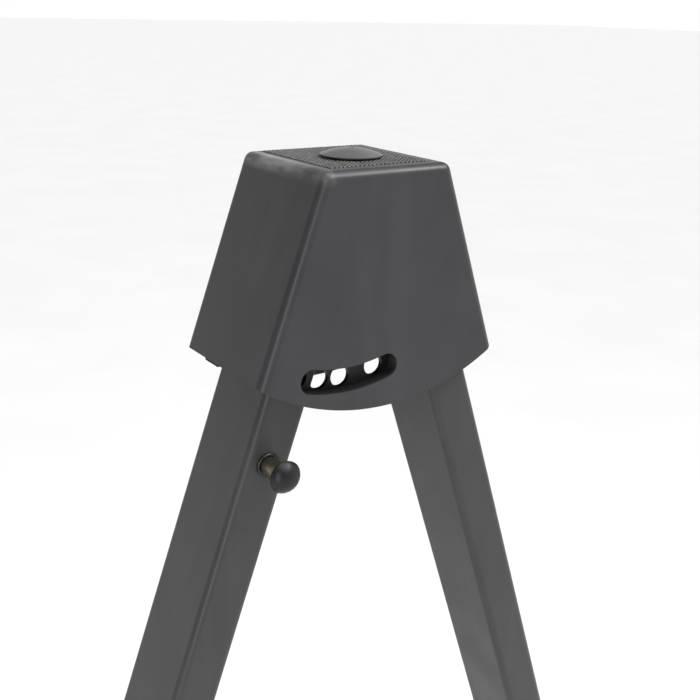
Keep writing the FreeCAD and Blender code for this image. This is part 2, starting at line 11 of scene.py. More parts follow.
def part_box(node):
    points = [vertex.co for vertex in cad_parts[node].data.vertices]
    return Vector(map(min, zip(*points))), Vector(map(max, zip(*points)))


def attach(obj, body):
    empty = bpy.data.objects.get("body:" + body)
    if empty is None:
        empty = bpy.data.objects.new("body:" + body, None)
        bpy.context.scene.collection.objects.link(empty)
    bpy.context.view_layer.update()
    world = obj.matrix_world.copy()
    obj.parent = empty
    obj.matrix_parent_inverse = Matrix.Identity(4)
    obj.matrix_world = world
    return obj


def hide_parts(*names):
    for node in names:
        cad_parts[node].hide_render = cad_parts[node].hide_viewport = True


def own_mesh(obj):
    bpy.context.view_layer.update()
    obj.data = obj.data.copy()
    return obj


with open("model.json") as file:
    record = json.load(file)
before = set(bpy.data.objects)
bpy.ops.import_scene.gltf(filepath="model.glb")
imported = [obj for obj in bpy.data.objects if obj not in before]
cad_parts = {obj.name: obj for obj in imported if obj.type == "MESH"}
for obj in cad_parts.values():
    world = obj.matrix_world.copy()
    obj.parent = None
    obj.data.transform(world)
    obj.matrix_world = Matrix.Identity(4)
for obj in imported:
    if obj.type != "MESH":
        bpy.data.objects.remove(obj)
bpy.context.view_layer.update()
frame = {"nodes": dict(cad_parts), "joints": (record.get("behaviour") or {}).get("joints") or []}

MM = 0.001
JOINTS = {joint["name"]: joint for joint in frame["joints"]}
LEG_NAMES = ("left", "right", "rear")

# Sizes in millimetres, the same as the CAD pieces they stand for.
COVER_HEIGHT, COVER_DEPTH = 110.0, 88.0
COVER_LOW_HALF = 79.0
COVER_TOP_HALF = 40.5
COVER_SLOPE = (COVER_LOW_HALF - COVER_TOP_HALF) / COVER_HEIGHT
COVER_WALL, COVER_TOP_WALL, COVER_ROUND = 3.0, 5.0, 5.5
COVER_EDGE_SOFT = 0.4
SKIRT_SAG = 23.3
BACK_PANEL_LOW, SIDE_WALL_STEP = 71.0, 1.9
SLOT_X, SLOT_Z, SLOT_RADIUS = -25.0, 94.0, 97.2
SLOT_WIDTH, SLOT_RIM, SLOT_DEEP = 14.0, 2.0, 8.2
SLOT_FROM, SLOT_TO = -13.4, 15.6      # degrees about the slot's centre
COVER_NODES = ("cover_front", "cover_top", "cover_back", "cover_sides")
TUBE_W, TUBE_D, TUBE_WALL, TUBE_CORNER = 28.0, 55.0, 1.5, 4.5
TUBE_TOP = 29.0                       # below the leg's pivot
TUBE_SOFT = 0.4
SOLE = 16.0
BOOT_WALL, BOOT_GRIP, BOOT_CORNER = 3.0, 34.0, 7.0
BOOT_RIBS, BOOT_RIB_PITCH, BOOT_RIB_DEEP = 3, 6.0, 0.7
PIN_AT = 145.0                        # below the leg's pivot
PIN_R, PIN_GAP = 3.0, 0.05
SEAT_R, SEAT_THICK, SPIGOT_R = 7.0, 1.5, 4.2
BARREL_R, BARREL_OUT, BARREL_BORE = 5.5, 15.6, 4.5
BARREL_CAP, BARREL_FLOOR = 1.5, 1.0
STEM_R, KNOB_R, KNOB_LENGTH, KNOB_NECK_R = 2.0, 9.25, 8.5, 6.2
KNOB_EDGE, KNOB_GAP = 2.6, 0.3
CAP_R, CAP_LIFT, CAP_RIM, CAP_RISE, CAP_Y = 17.2, 1.3, 0.8, 3.7, 38.5
CAP_NECK_R, CAP_DIMPLE_R = 10.6, 1.9
PAD_HALF, PAD_FROM, PAD_TO, PAD_DEEP, PAD_HOLE = 31.9, 9.8, 80.8, 2.0, 11.0
PAD_RECESS_HALF, PAD_RECESS_FROM, PAD_RECESS_TO = 32.5, 9.2, 81.4
TEETH_ACROSS, TEETH_DEEP = 24, 27
TOOTH_FOOT, TOOTH_TIP = -0.8, 0.55    # heights, from the cover's top face
TOOTH_CROWN = 0.24                    # half the flat tip, as a share of the pitch

# The hub frame: X right, Y from the cover's front face, Z from its side walls' lower edge.
cover_front_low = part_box("cover_front")[0]
cover_top_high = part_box("cover_top")[1]
HUB = (Matrix.Translation((0.0, cover_front_low.y, cover_top_high.z - COVER_HEIGHT * MM))
       @ Matrix.Scale(MM, 4))


def side_x(height, inset=0.0):
    """Half the cover's width at a height, less an inset measured across."""
    return COVER_LOW_HALF - COVER_SLOPE * height - inset


# ---------------------------------------------------------------- mesh helpers
def new_object(name, bm, place=Matrix.Identity(4), smooth_deg=35.0):
    """A mesh object from a bmesh, moved to its place, smooth but for sharp edges."""
    bmesh.ops.remove_doubles(bm, verts=bm.verts, dist=1e-9)
    bmesh.ops.recalc_face_normals(bm, faces=bm.faces)
    mesh = bpy.data.meshes.new(name)
    bm.to_mesh(mesh)
    bm.free()
    mesh.transform(place)
    obj = bpy.data.objects.new(name, mesh)
    bpy.context.scene.collection.objects.link(obj)
    smooth(obj, smooth_deg)
    return obj


def smooth(obj, degrees):
    """Smooth shading that keeps flat faces flat and edges sharper than an angle sharp."""
    mesh = obj.data
    mesh.polygons.foreach_set("use_smooth", [True] * len(mesh.polygons))
    bm = bmesh.new()
    bm.from_mesh(mesh)
    limit = math.radians(degrees)
    for edge in bm.edges:
        edge.smooth = edge.calc_face_angle(math.pi) < limit
    bm.to_mesh(mesh)
    bm.free()
    weighted = obj.modifiers.new("flat_faces", "WEIGHTED_NORMAL")
    weighted.mode = "FACE_AREA"
    weighted.weight = 50
    weighted.keep_sharp = True
    apply_modifiers(obj)


def ring_faces(bm, first, second):
    """Joins two loops of vertices with four-sided faces."""
    count = len(first)
    for k in range(count):
        bm.faces.new((first[k], first[(k + 1) % count], second[(k + 1) % count], second[k]))


def rounded_loop(width, depth, corner_r, steps=8):
    """Points round a rectangle with round corners, as (x, y)."""
    points = []
    for quarter in range(4):
        turn = quarter * math.pi / 2
        cx = (width / 2 - corner_r) * (1 if quarter in (0, 3) else -1)
        cy = (depth / 2 - corner_r) * (1 if quarter in (0, 1) else -1)
        for k in range(steps + 1):
            angle = turn + k * math.pi / 2 / steps
            points.append((cx + corner_r * math.cos(angle), cy + corner_r * math.sin(angle)))
    return points


def turned(name, profile, place, segments=64):
    """A piece turned about Z from a closed profile of (radius, height)."""
    bm = bmesh.new()
    rings = []
    for radius, height in profile:
        if radius < 1e-6:
            rings.append([bm.verts.new((0, 0, height))])
            continue
        ring = []
        for k in range(segments):
            angle = 2 * math.pi * k / segments
            ring.append(bm.verts.new((radius * math.cos(angle), radius * math.sin(angle), height)))
        rings.append(ring)
    for first, second in zip(rings, rings[1:]):
        if len(first) == 1 and len(second) == 1:
            continue
        if len(first) == 1 or len(second) == 1:
            tip, ring = (first[0], second) if len(first) == 1 else (second[0], first)
            for k in range(segments):
                bm.faces.new((tip, ring[k], ring[(k + 1) % segments]))
        else:
            ring_faces(bm, first, second)
    return new_object(name, bm, place)


def arc(centre_z, radius, start_deg, end_deg, steps):
    """Profile points on an arc centred on the turning axis, as (radius, height)."""
    points = []
    for k in range(steps + 1):
        angle = math.radians(start_deg + (end_deg - start_deg) * k / steps)
        points.append((radius * math.cos(angle), centre_z + radius * math.sin(angle)))
    return points


def soften(obj, width, smooth_deg=35.0):
    """Rounds off an object's sharp edges by a small amount."""
    modifier = obj.modifiers.new("edges", "BEVEL")
    modifier.width = width
    modifier.segments = 2
    modifier.limit_method = "ANGLE"
    modifier.angle_limit = math.radians(40.0)
    apply_modifiers(obj)
    smooth(obj, smooth_deg)


def carve(obj, tool, operation="DIFFERENCE"):
    """Cuts a tool out of an object, or joins it on, and drops the tool."""
    modifier = obj.modifiers.new("carve", "BOOLEAN")
    modifier.operation = operation
    modifier.solver = "EXACT"
    modifier.object = tool
    apply_modifiers(obj)
    bpy.data.objects.remove(tool)


def whole_faces(bm, weld):
    """Welds a mesh's points and makes each flat face one face."""
    bmesh.ops.remove_doubles(bm, verts=bm.verts, dist=weld)
    bmesh.ops.dissolve_limit(bm, angle_limit=math.radians(0.5), verts=bm.verts, edges=bm.edges)


def prism(outline, near, far):
    """A solid pushed along Y from a closed outline of (x, z), in hub millimetres."""
    bm = bmesh.new()
    front = [bm.verts.new((x, near, z)) for x, z in outline]
    back = [bm.verts.new((x, far, z)) for x, z in outline]
    ring_faces(bm, front, back)
    bm.faces.new(front)
    bm.faces.new(list(reversed(back)))
    return new_object("prism", bm)


def refined(node, bevel_mm):
    """A CAD node's shape as its own piece, its flat faces made whole and its edges rounded off."""
    bm = bmesh.new()
    bm.from_mesh(frame["nodes"][node].data)
    whole_faces(bm, 2e-6)
    obj = new_object(node + "_skin", bm)
    if bevel_mm:
        soften(obj, bevel_mm * MM)
    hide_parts(node)
    return obj


def apply_modifiers(obj):
    """Bakes an object's modifiers into its mesh."""
    graph = bpy.context.evaluated_depsgraph_get()
    mesh = bpy.data.meshes.new_from_object(obj.evaluated_get(graph))
    obj.modifiers.clear()
    obj.data = mesh


# ------------------------------------------------------------------- materials
class Nodes:
    """A short way to write a material's nodes."""

    def __init__(self, name):
        self.material = bpy.data.materials.new(name)
        self.material.use_nodes = True
        self.tree = self.material.node_tree
        self.shader = self.tree.nodes["Principled BSDF"]
        coords = self.tree.nodes.new("ShaderNodeTexCoord")
        self.place = coords.outputs["Object"]

    def link(self, source, target):
        self.tree.links.new(source, target)

    def scaled(self, scale):
        """The surface's place, stretched by a scale along each axis."""
        node = self.tree.nodes.new("ShaderNodeMapping")
        node.inputs["Scale"].default_value = scale
        self.link(self.place, node.inputs["Vector"])
        return node.outputs["Vector"]

    def noise(self, scale, detail=3.0, roughness=0.55, place=None):
        node = self.tree.nodes.new("ShaderNodeTexNoise")
        node.inputs["Scale"].default_value = scale
        node.inputs["Detail"].default_value = detail
        node.inputs["Roughness"].default_value = roughness
        self.link(place or self.place, node.inputs["Vector"])
        return node.outputs["Fac"]

    def spread(self, value, low, high, to_low, to_high):
        node = self.tree.nodes.new("ShaderNodeMapRange")
        node.interpolation_type = "SMOOTHSTEP"
        node.inputs["From Min"].default_value = low
        node.inputs["From Max"].default_value = high
        node.inputs["To Min"].default_value = to_low
        node.inputs["To Max"].default_value = to_high
        self.link(value, node.inputs["Value"])
        return node.outputs["Result"]

    def math(self, operation, first, second):
        node = self.tree.nodes.new("ShaderNodeMath")
        node.operation = operation
        for socket, value in zip(node.inputs, (first, second)):
            if isinstance(value, (int, float)):
                socket.default_value = value
            else:
                self.link(value, socket)
        return node.outputs[0]

    def axis(self, name):
        """One coordinate of the surface's place."""
        node = self.tree.nodes.new("ShaderNodeSeparateXYZ")
        self.link(self.place, node.inputs[0])
        return node.outputs[name]

    def blob(self, centre, size):
        """1 at a point, falling to 0 at a distance set for each axis."""
        shift = self.tree.nodes.new("ShaderNodeMapping")
        shift.vector_type = "TEXTURE"
        shift.inputs["Location"].default_value = centre
        shift.inputs["Scale"].default_value = size
        self.link(self.place, shift.inputs["Vector"])
        length = self.tree.nodes.new("ShaderNodeVectorMath")
        length.operation = "LENGTH"
        self.link(shift.outputs["Vector"], length.inputs[0])
        return self.spread(length.outputs["Value"], 0.0, 1.0, 1.0, 0.0)

    def mix(self, amount, first, second):
        """A colour between two, each a colour or a socket."""
        node = self.tree.nodes.new("ShaderNodeMix")
        node.data_type = "RGBA"
        self.link(amount, node.inputs["Factor"])
        for socket, value in ((node.inputs[6], first), (node.inputs[7], second)):
            if isinstance(value, tuple):
                socket.default_value = (*value, 1.0)
            else:
                self.link(value, socket)
        return node.outputs[2]

    def bump(self, heights, strength, distance_mm):
        node = self.tree.nodes.new("ShaderNodeBump")
        node.inputs["Strength"].default_value = strength
        node.inputs["Distance"].default_value = distance_mm * MM
        self.link(heights, node.inputs["Height"])
        self.link(node.outputs["Normal"], self.shader.inputs["Normal"])

    def finish(self, colour, rough):
        self.link(colour, self.shader.inputs["Base Color"])
        self.link(rough, self.shader.inputs["Roughness"])
        return self.material


def tint(colour, factor):
    return tuple(channel * factor for channel in colour)


def grained(name, colour, rough, grain_mm, bump_mm, mottle=0.14, specular=0.5):
    """Moulded plastic, rubber or paint: cloudy colour, fine grain and uneven sheen."""
    nodes = Nodes(name)
    cloud = nodes.noise(38.0, 4.0)
    shade = nodes.mix(nodes.spread(cloud, 0.3, 0.7, 0.0, 1.0), tint(colour, 1 - mottle),
                      tint(colour, 1 + mottle))
    grain = nodes.noise(1000.0 / grain_mm, 2.0)
    nodes.bump(grain, 0.35, bump_mm)
    nodes.shader.inputs["Specular IOR Level"].default_value = specular
    return nodes.finish(shade, nodes.spread(cloud, 0.3, 0.7, rough - 0.05, rough + 0.06))


def cover_plastic():
    """The hub's satin plastic: cloudy, rubbed pale along its top edges, with two small scuffs and
    painted shade inside the slot.
    """
    nodes = Nodes("cover_plastic")
    base = (0.0275, 0.0273, 0.0305)
    cloud = nodes.noise(24.0, 5.0)
    streak = nodes.noise(55.0, 3.0, place=nodes.scaled((1.0, 1.0, 0.12)))
    shade = nodes.mix(nodes.spread(cloud, 0.3, 0.7, 0.0, 1.0), tint(base, 0.86), tint(base, 1.14))
    shade = nodes.mix(nodes.spread(streak, 0.45, 0.75, 0.0, 0.6), shade, tint(base, 1.4))
    x, y, z = nodes.axis("X"), nodes.axis("Y"), nodes.axis("Z")
    edge = HUB @ Vector((-COVER_TOP_HALF, 0, COVER_HEIGHT))
    high = nodes.spread(z, edge.z - 8.5 * MM, edge.z - 2.5 * MM, 0.0, 1.0)
    left = nodes.spread(x, edge.x + 3.5 * MM, edge.x + 7.5 * MM, 1.0, 0.0)
    far = nodes.spread(y, edge.y + 5 * MM, edge.y + 70 * MM, 0.45, 1.0)
    patches = nodes.noise(130.0, 5.0, 0.6, nodes.scaled((1.0, 0.3, 0.8)))
    smear = nodes.spread(patches, 0.3, 0.7, 0.12, 1.0)
    wear = nodes.math("MULTIPLY", nodes.math("MULTIPLY", high, left),
                      nodes.math("MULTIPLY", far, smear))
    shade = nodes.mix(wear, shade, (0.24, 0.238, 0.235))
    broken = nodes.spread(nodes.noise(900.0, 2.0), 0.42, 0.58, 0.0, 1.0)
    for at_y, at_z, long in ((46.0, 84.0, 8.0), (44.0, 66.0, 3.0)):
        spot = nodes.blob(HUB @ Vector((-side_x(at_z), at_y, at_z)), (3 * MM, 1.4 * MM, long * MM))
        shade = nodes.mix(nodes.math("MULTIPLY", spot, broken), shade, tint(base, 0.3))
    # Painted shade: the slot's inside, behind its rim, is painted near black (and made rougher)
    # where little light reaches.
    inward = nodes.spread(y, edge.y + 0.8 * MM, edge.y + 2.2 * MM, 0.0, 1.0)
    out_of_slot = nodes.spread(y, edge.y + 9.2 * MM, edge.y + 10.0 * MM, 1.0, 0.0)
    middle = nodes.math("MULTIPLY", nodes.spread(x, edge.x - 24 * MM, edge.x - 22 * MM, 0.0, 1.0),
                        nodes.spread(x, edge.x + 47 * MM, edge.x + 49 * MM, 1.0, 0.0))
    low = nodes.spread(z, edge.z - 92 * MM, edge.z - 90 * MM, 1.0, 0.0)
    slot = nodes.math("MULTIPLY", nodes.math("MULTIPLY", inward, out_of_slot),
                      nodes.math("MULTIPLY", middle, low))
    # The painted shade inside the slot, near black.
    shade = nodes.mix(slot, shade, (0.004, 0.004, 0.004))
    nodes.bump(nodes.noise(2400.0, 2.0), 0.3, 0.03)
    nodes.shader.inputs["Specular IOR Level"].default_value = 0.45
    rough = nodes.spread(cloud, 0.3, 0.7, 0.36, 0.44)
    return nodes.finish(shade, nodes.math("ADD", rough, nodes.math("MULTIPLY", slot, 0.3)))


def leg_paint():
    """Powder-coated tube: faint orange peel and long, soft streaks."""
    nodes = Nodes("leg_paint")
    base = (0.034, 0.034, 0.035)
    cloud = nodes.noise(22.0, 4.0)
    streak = nodes.noise(90.0, 3.0, place=nodes.scaled((1.0, 1.0, 0.06)))
    shade = nodes.mix(nodes.spread(cloud, 0.3, 0.7, 0.0, 1.0), tint(base, 0.88), tint(base, 1.12))
    shade = nodes.mix(nodes.spread(streak, 0.4, 0.7, 0.0, 0.4), shade, tint(base, 1.35))
    nodes.bump(nodes.noise(1100.0, 2.0), 0.25, 0.05)
    nodes.shader.inputs["Specular IOR Level"].default_value = 0.45
    return nodes.finish(shade, nodes.spread(cloud, 0.3, 0.7, 0.36, 0.46))


def pad_rubber():
    """Knurled rubber: painted shade between its teeth, painted light on their tips, the tips patchy
    with dust.
    """
    nodes = Nodes("pad_rubber")
    top = (HUB @ Vector((0, 0, COVER_HEIGHT))).z
    # Painted light and shade: by height, the gaps between the teeth are painted near black and the
    # tips pale; the dust noise makes the pale tips patchy.
    tips = nodes.spread(nodes.axis("Z"), top - 0.5 * MM, top + 0.45 * MM, 0.0, 1.0)
    tip_dust_and_light = nodes.spread(nodes.noise(260.0, 3.0), 0.3, 0.7, 0.35, 1.0)
    shade = nodes.mix(nodes.math("MULTIPLY", tips, tip_dust_and_light), (0.006, 0.006, 0.006),
                      (0.115, 0.113, 0.11))
    nodes.bump(nodes.noise(2200.0, 2.0), 0.3, 0.05)
    return nodes.finish(shade, nodes.spread(tips, 0.0, 1.0, 0.7, 0.42))


def turned_metal(name, colour, rough):
    """Plated steel with fine turning marks and a little tarnish."""
    nodes = Nodes(name)
    tarnish = nodes.noise(240.0, 4.0, 0.65)
    shade = nodes.mix(nodes.spread(tarnish, 0.35, 0.7, 0.0, 1.0), tint(colour, 1.15),
                      tint(colour, 0.55))
    nodes.bump(nodes.noise(2600.0, 2.0), 0.2, 0.03)
    nodes.shader.inputs["Metallic"].default_value = 1.0
    return nodes.finish(shade, nodes.spread(tarnish, 0.35, 0.7, rough, rough + 0.15))


MATERIALS = {
    "cover": cover_plastic(),
    "pad": pad_rubber(),
    "cap": grained("cap_plastic", (0.098, 0.096, 0.096), 0.36, 0.5, 0.03, mottle=0.25),
    "leg": leg_paint(),
    "core": grained("core_paint", (0.05, 0.05, 0.053), 0.42, 0.9, 0.04),
    "bracket": grained("bracket_paint", (0.008, 0.008, 0.009), 0.42, 0.8, 0.05, specular=0.3),
    "nylon": grained("black_nylon", (0.012, 0.012, 0.012), 0.45, 0.6, 0.02),
    "rubber": grained("foot_rubber", (0.018, 0.018, 0.018), 0.72, 0.5, 0.09),
    "bumper": grained("bumper_rubber", (0.008, 0.008, 0.008), 0.7, 0.5, 0.06),
    "seat": grained("seat_black", (0.006, 0.006, 0.006), 0.4, 0.6, 0.02),
    "knob": grained("knob_plastic", (0.009, 0.009, 0.0115), 0.38, 0.7, 0.02, mottle=0.2,
                    specular=0.32),
    "nickel": turned_metal("worn_nickel", (0.33, 0.29, 0.235), 0.30),
    "zinc": turned_metal("zinc_steel", (0.52, 0.52, 0.54), 0.28),
}


def dress(obj, body, material):
    """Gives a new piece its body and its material."""
    obj.data.materials.clear()
    obj.data.materials.append(MATERIALS[material])
    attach(obj, body)


# -------------------------------------------------------------------- hub pieces
def make_pad():
    """The knurled pad: rows of low pyramids on a thin plate, round the cap's hole."""
    bm = bmesh.new()
    low = COVER_HEIGHT - PAD_DEEP
    base = COVER_HEIGHT + TOOTH_FOOT
    tip = COVER_HEIGHT + TOOTH_TIP
    step_x = 2 * PAD_HALF / TEETH_ACROSS
    step_y = (PAD_TO - PAD_FROM) / TEETH_DEEP
    crown_x, crown_y = TOOTH_CROWN * step_x, TOOTH_CROWN * step_y
    for column in range(TEETH_ACROSS):
        for row in range(TEETH_DEEP):
            x = -PAD_HALF + column * step_x
            y = PAD_FROM + row * step_y
            middle = Vector((x + step_x / 2, y + step_y / 2, 0))
            if math.hypot(middle.x, middle.y - CAP_Y) < PAD_HOLE + step_x * 0.75:
                continue
            corners = [bm.verts.new((x + across * step_x, y + up * step_y, base))
                       for across, up in ((0, 0), (1, 0), (1, 1), (0, 1))]
            crown = [bm.verts.new((middle.x + across * crown_x, middle.y + up * crown_y, tip))
                     for across, up in ((-1, -1), (1, -1), (1, 1), (-1, 1))]
            ring_faces(bm, corners, crown)
            bm.faces.new(crown)
            bm.faces.new(list(reversed(corners)))
    lower = [bm.verts.new((x, y, low)) for x, y in
             ((-PAD_HALF, PAD_FROM), (PAD_HALF, PAD_FROM), (PAD_HALF, PAD_TO), (-PAD_HALF, PAD_TO))]
    upper = [bm.verts.new((v.co.x, v.co.y, base)) for v in lower]
    ring_faces(bm, lower, upper)
    bm.faces.new(upper)
    bm.faces.new(list(reversed(lower)))
    pad = new_object("knurled_pad", bm, HUB, smooth_deg=20.0)
    dress(pad, "hub", "pad")
    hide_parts("top_pad")


def make_cap():
    """The domed cap over the centre bolt, on a narrow neck, with a dimple on top."""
    dome_r = (CAP_R ** 2 + CAP_RISE ** 2) / (2 * CAP_RISE)
    brim = CAP_LIFT + CAP_RIM
    top = brim + CAP_RISE
    centre_z = top - dome_r
    edge_deg = math.degrees(math.asin((brim - centre_z) / dome_r))
    rim_deg = math.degrees(math.acos(CAP_DIMPLE_R / dome_r))
    profile = [(0.0, 0.0), (CAP_NECK_R, 0.0), (CAP_NECK_R, CAP_LIFT), (CAP_R - 0.5, CAP_LIFT),
               (CAP_R - 0.15, CAP_LIFT + 0.15), (CAP_R, CAP_LIFT + 0.45)]
    profile += arc(centre_z, dome_r, edge_deg, rim_deg, 20)
    profile += [(CAP_DIMPLE_R * 0.85, top - 0.3), (CAP_DIMPLE_R * 0.5, top - 0.75),
                (0.0, top - 0.85)]
    place = HUB @ Matrix.Translation((0, CAP_Y, COVER_HEIGHT))
    cap = turned("domed_cap", profile, place, 96)
    dress(cap, "hub", "cap")
    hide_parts("centre_cap")


def rounded_block(low):
    """The cover's tapered block down to a low height, its upright and top edges rounded."""
    inset = COVER_ROUND * math.hypot(1.0, COVER_SLOPE)
    bm = bmesh.new()
    for height in (low, COVER_HEIGHT - COVER_ROUND):
        for side in (-1, 1):
            for y in (COVER_ROUND, COVER_DEPTH - COVER_ROUND):
                at = Matrix.Translation((side * side_x(height, inset), y, height))
                bmesh.ops.create_uvsphere(bm, u_segments=48, v_segments=32,
                                          radius=COVER_ROUND, matrix=at)
    bmesh.ops.delete(bm, geom=list(bm.faces) + list(bm.edges), context="EDGES_FACES")
    hull = bmesh.ops.convex_hull(bm, input=bm.verts)
    inside = set(hull["geom_interior"] + hull["geom_unused"])
    bmesh.ops.delete(bm, geom=list(inside), context="VERTS")
    bmesh.ops.dissolve_limit(bm, angle_limit=math.radians(0.3), verts=bm.verts, edges=bm.edges)
    return new_object("moulded_cover", bm)


def slot_outline(width):
    """The curved slot's outline, as (x, z)."""
    inner, outer = SLOT_RADIUS - width / 2, SLOT_RADIUS + width / 2

    def at(radius, degrees):
        turn = math.radians(degrees)
        return (SLOT_X + radius * math.sin(turn), SLOT_Z - radius * math.cos(turn))

    def side(radius, start, end, steps=24):
        return [at(radius, start + (end - start) * k / steps) for k in range(steps + 1)]

    def round_end(degrees, start, steps=16):
        """A half circle round the slot's middle line at an angle."""
        x, z = at(SLOT_RADIUS, degrees)
        turns = [math.radians(start + 180 * k / steps) for k in range(1, steps)]
        return [(x + width / 2 * math.cos(turn), z + width / 2 * math.sin(turn)) for turn in turns]

    return (side(outer, SLOT_FROM, SLOT_TO) + round_end(SLOT_TO, SLOT_TO - 90)
            + side(inner, SLOT_TO, SLOT_FROM) + round_end(SLOT_FROM, SLOT_FROM + 90))


def make_cover():
    """The moulded cover: a hollow tapered block with a skirt, a rimmed slot and the pad's recess.

    What a tool cuts away past the cover's own surface is a multiple of its depth below zero.
    """
    deep = -SKIRT_SAG - COVER_WALL
    cover = rounded_block(2 * deep)
    inset = COVER_WALL * math.hypot(1.0, COVER_SLOPE)
    ceiling = COVER_HEIGHT - COVER_TOP_WALL

    def taper(low, high):
        return [(-side_x(low, inset), low), (side_x(low, inset), low),
                (side_x(high, inset), high), (-side_x(high, inset), high)]

    carve(cover, prism(taper(3 * deep, ceiling), COVER_WALL, COVER_DEPTH - COVER_WALL))
    skirt_r = (COVER_LOW_HALF ** 2 + SKIRT_SAG ** 2) / (2 * SKIRT_SAG)
    half_angle = math.asin(COVER_LOW_HALF / skirt_r)
    wide = 2 * COVER_LOW_HALF
    steps = 48
    below = [(-wide, 0.0)]
    for k in range(steps + 1):
        turn = -half_angle + 2 * half_angle * k / steps
        below.append((skirt_r * math.sin(turn), skirt_r - SKIRT_SAG - skirt_r * math.cos(turn)))
    below += [(wide, 0.0), (wide, 4 * deep), (-wide, 4 * deep)]
    carve(cover, prism(below, -COVER_WALL, COVER_WALL))
    flat = [(-wide, 0.0), (wide, 0.0), (wide, 4 * deep), (-wide, 4 * deep)]
    carve(cover, prism(flat, COVER_WALL, 2 * COVER_DEPTH))
    gap = [(-wide, BACK_PANEL_LOW), (wide, BACK_PANEL_LOW), (wide, deep), (-wide, deep)]
    carve(cover, prism(gap, COVER_DEPTH - SIDE_WALL_STEP, 2 * COVER_DEPTH))
    carve(cover, prism(taper(deep, BACK_PANEL_LOW), COVER_DEPTH - 2 * COVER_WALL, 2 * COVER_DEPTH))
    carve(cover, prism(slot_outline(SLOT_WIDTH + 2 * SLOT_RIM), COVER_WALL / 2, SLOT_DEEP), "UNION")
    carve(cover, prism(slot_outline(SLOT_WIDTH), -COVER_WALL, 2 * SLOT_DEEP))
    floor = COVER_HEIGHT - PAD_DEEP
    recess = [(-PAD_RECESS_HALF, floor), (PAD_RECESS_HALF, floor),
              (PAD_RECESS_HALF, 2 * COVER_HEIGHT), (-PAD_RECESS_HALF, 2 * COVER_HEIGHT)]
    carve(cover, prism(recess, PAD_RECESS_FROM, PAD_RECESS_TO))
    bm = bmesh.new()
    bm.from_mesh(cover.data)
    bpy.data.objects.remove(cover)
    whole_faces(bm, 0.002)
    cover = new_object("moulded_cover", bm, HUB)
    soften(cover, COVER_EDGE_SOFT * MM)
    dress(cover, "hub", "cover")
    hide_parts(*COVER_NODES)


# -------------------------------------------------------------------- leg pieces
def leg_frame(name):
    """The leg's own frame: pivot at the origin, Z up the leg, the pull pin on its -Y side."""
    pivot = Vector(JOINTS[name + "_fold"]["pos_m"])
    up = -Vector(JOINTS[name + "_extend"]["axis"]).normalized()
    back = -Vector(JOINTS[name + "_pull"]["axis"]).normalized()
    side = back.cross(up)
    turn = Matrix((side, back, up)).transposed().to_4x4()
    return Matrix.Translation(pivot) @ turn @ Matrix.Scale(MM, 4)


def leg_reach(place):
    """From the pivot to the floor along the leg, in millimetres."""
    up = place.to_3x3() @ Vector((0, 0, 1))
    return place.translation.z / up.z


def make_outer_tube(name, place):
    """The outer tube: round-cornered, hollow, with softened ends."""
    bm = bmesh.new()
    low = -(leg_reach(place) - SOLE)
    high = -TUBE_TOP
    rings = []
    for inset, height in ((0.0, low + TUBE_SOFT), (0.0, high - TUBE_SOFT), (TUBE_SOFT, high),
                          (TUBE_WALL, high), (TUBE_WALL, low), (TUBE_SOFT, low)):
        loop = rounded_loop(TUBE_W - 2 * inset, TUBE_D - 2 * inset, TUBE_CORNER - inset)
        rings.append([bm.verts.new((x, y, height)) for x, y in loop])
    for first, second in zip(rings, rings[1:] + rings[:1]):
        ring_faces(bm, first, second)
    tube = new_object(name + "_tube", bm, place, smooth_deg=30.0)
    dress(tube, name + "_leg", "leg")
    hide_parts(name + "_outer_tube")


def make_boot(name, place):
    """The rubber boot: ribbed sides, a lip round the tube and a level sole."""
    bm = bmesh.new()
    turn = place.to_3x3()
    pivot_z = place.translation.z
    top = -(leg_reach(place) - SOLE) + BOOT_GRIP
    up = turn @ Vector((0, 0, 1))

    def outline(inset):
        return rounded_loop(TUBE_W + 2 * (BOOT_WALL - inset), TUBE_D + 2 * (BOOT_WALL - inset),
                            BOOT_CORNER - inset)

    def ring(inset, height):
        return [bm.verts.new((x, y, height)) for x, y in outline(inset)]

    def sole_ring(inset, lift):
        """A loop that lies a little above the floor, whatever the leg's tilt."""
        points = []
        for x, y in outline(inset):
            across = turn @ Vector((x, y, 0))
            points.append(bm.verts.new((x, y, (lift * MM - pivot_z - across.z) / up.z)))
        return points

    rings = [ring(BOOT_WALL, top - 6.0), ring(BOOT_WALL, top), ring(0.9, top), ring(0.3, top - 0.3),
             ring(0.0, top - 1.0)]
    for k in range(BOOT_RIBS):
        start = top - 7.0 - BOOT_RIB_PITCH * k
        rings += [ring(0.0, start), ring(BOOT_RIB_DEEP, start - 0.6),
                  ring(BOOT_RIB_DEEP, start - 1.8), ring(0.0, start - 2.4)]
    rings += [sole_ring(0.0, 1.4), sole_ring(0.5, 0.4), sole_ring(1.3, 0.0)]
    for first, second in zip(rings, rings[1:]):
        ring_faces(bm, first, second)
    bm.faces.new(rings[-1])
    bm.faces.new(list(reversed(rings[0])))
    boot = new_object(name + "_boot", bm, place, smooth_deg=40.0)
    dress(boot, name + "_leg", "rubber")
    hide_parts(name + "_foot")


def pin_place(place):
    """The pull pin's frame: Z out of the tube's face, origin on the face."""
    turn = Matrix.Rotation(math.radians(90.0), 4, "X")
    return place @ Matrix.Translation((0, -TUBE_D / 2, -PIN_AT)) @ turn


